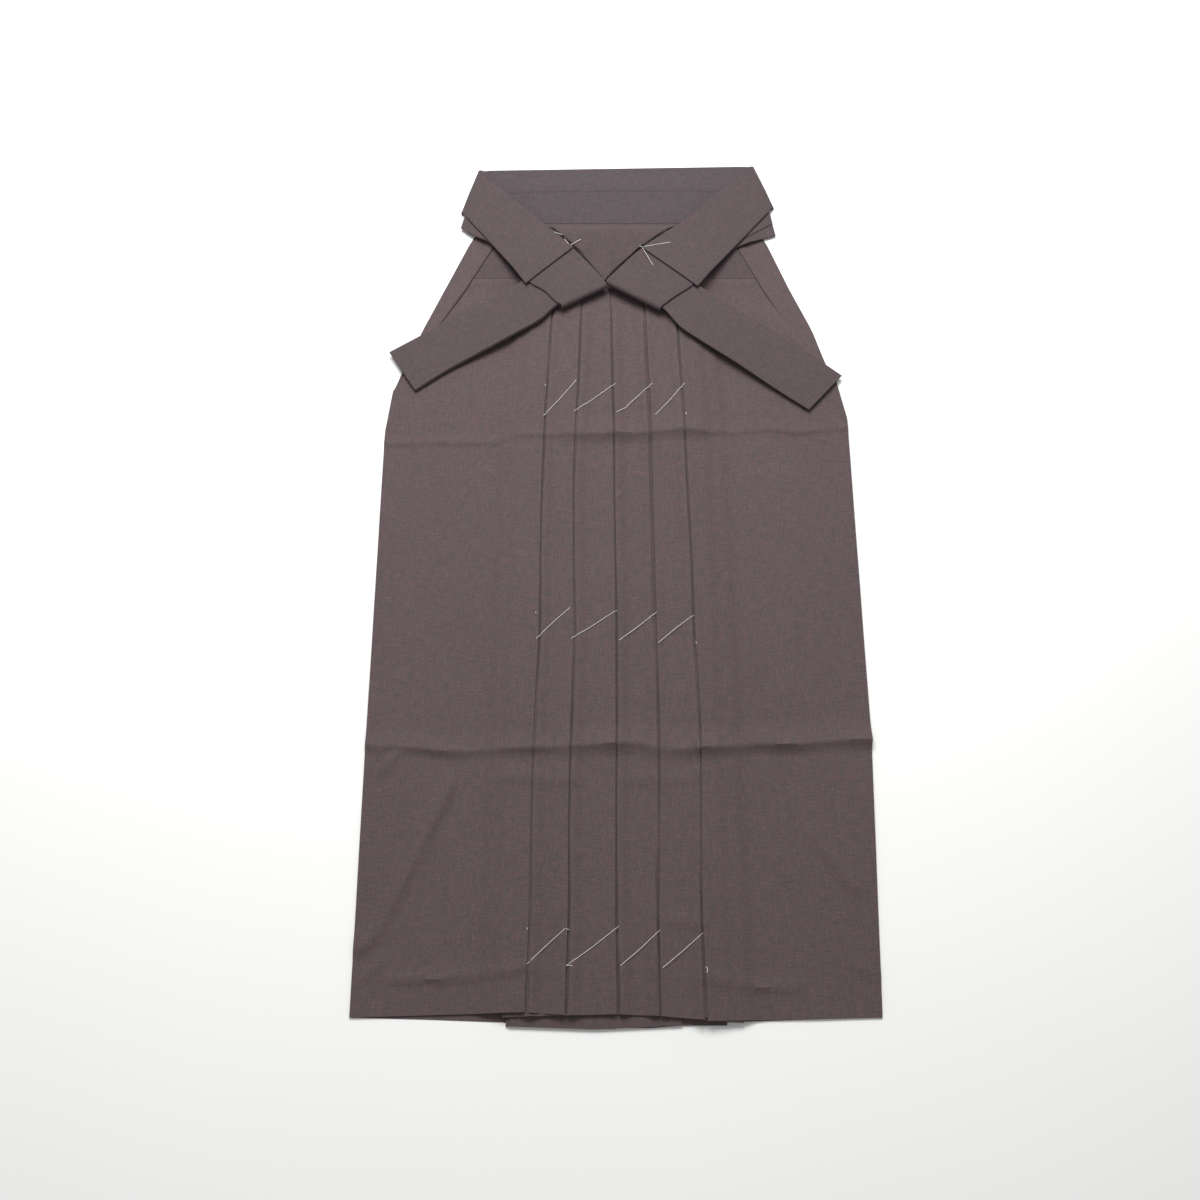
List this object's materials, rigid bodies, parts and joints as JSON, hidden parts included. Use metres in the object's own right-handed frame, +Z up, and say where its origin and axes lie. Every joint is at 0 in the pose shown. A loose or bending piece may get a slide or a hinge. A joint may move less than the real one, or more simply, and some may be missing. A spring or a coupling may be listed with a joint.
{
  "type": "hakama trousers",
  "caption": "Wide pleated wrap trousers laid out flat, with a high back waistband, open side slits and long waist ties folded over the front; worn over a robe.",
  "frame": {"origin": "centre of the garment's flat outline, on the surface that it lies on", "axes": "+Y runs from the hem to the waist, +X to the viewer's right as the front is looked at, +Z up out of the front"},
  "size_m": [0.559, 1.0491, 0.0256],
  "materials": {
    "panel_cloth": "matt, finely woven, plum-brown shot with grey",
    "tie_cloth": "the same cloth, interlined and pressed flat",
    "basting_thread": "soft white cotton thread",
    "stitching": "thread in the colour of the cloth"
  },
  "bodies": {
    "root": {"front_panel_left": "panel_cloth", "front_panel_right": "panel_cloth", "back_panel_left": "panel_cloth", "back_panel_right": "panel_cloth", "gusset_left": "panel_cloth", "gusset_right": "panel_cloth", "front_waistband": "tie_cloth", "back_waistband": "tie_cloth", "back_tie_left": "tie_cloth", "back_tie_right": "tie_cloth", "back_tie_wrap_left": "tie_cloth", "back_tie_wrap_right": "tie_cloth", "front_tie_stack_left": "tie_cloth", "front_tie_stack_right": "tie_cloth", "front_tie_tail_left": "tie_cloth", "front_tie_tail_right": "tie_cloth"}
  },
  "joints": []
}
